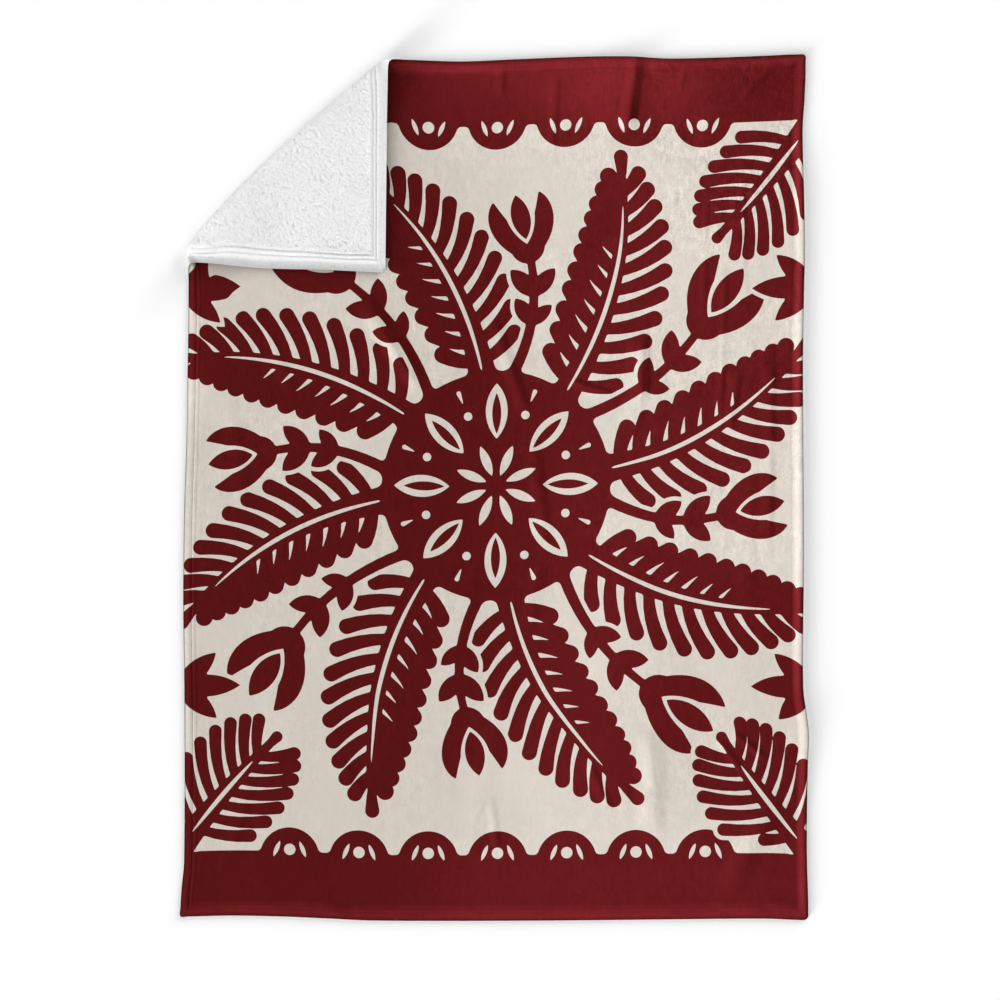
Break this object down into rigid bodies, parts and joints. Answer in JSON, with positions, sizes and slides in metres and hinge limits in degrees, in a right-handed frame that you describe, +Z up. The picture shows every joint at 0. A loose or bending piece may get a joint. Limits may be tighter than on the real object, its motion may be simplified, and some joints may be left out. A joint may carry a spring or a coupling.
{
  "type": "throw blanket",
  "caption": "Printed short-pile throw blanket with a white plush back, lying face up with its top left corner turned over to show the back.",
  "frame": {"origin": "On the surface the blanket lies on, under the middle of its outline.", "axes": "+X across the blanket to the right, +Y along its length toward the edge with the turned corner, +Z up out of the printed face."},
  "size_m": [1.3144, 1.8128, 0.0339],
  "materials": {
    "printed_fleece": "short-pile flannel fleece, printed dark red on cream, soft sheen",
    "white_sherpa": "white sherpa plush, curly matt pile"
  },
  "bodies": {
    "root": {"front_panel": "printed_fleece", "back_panel": "white_sherpa"}
  },
  "joints": []
}
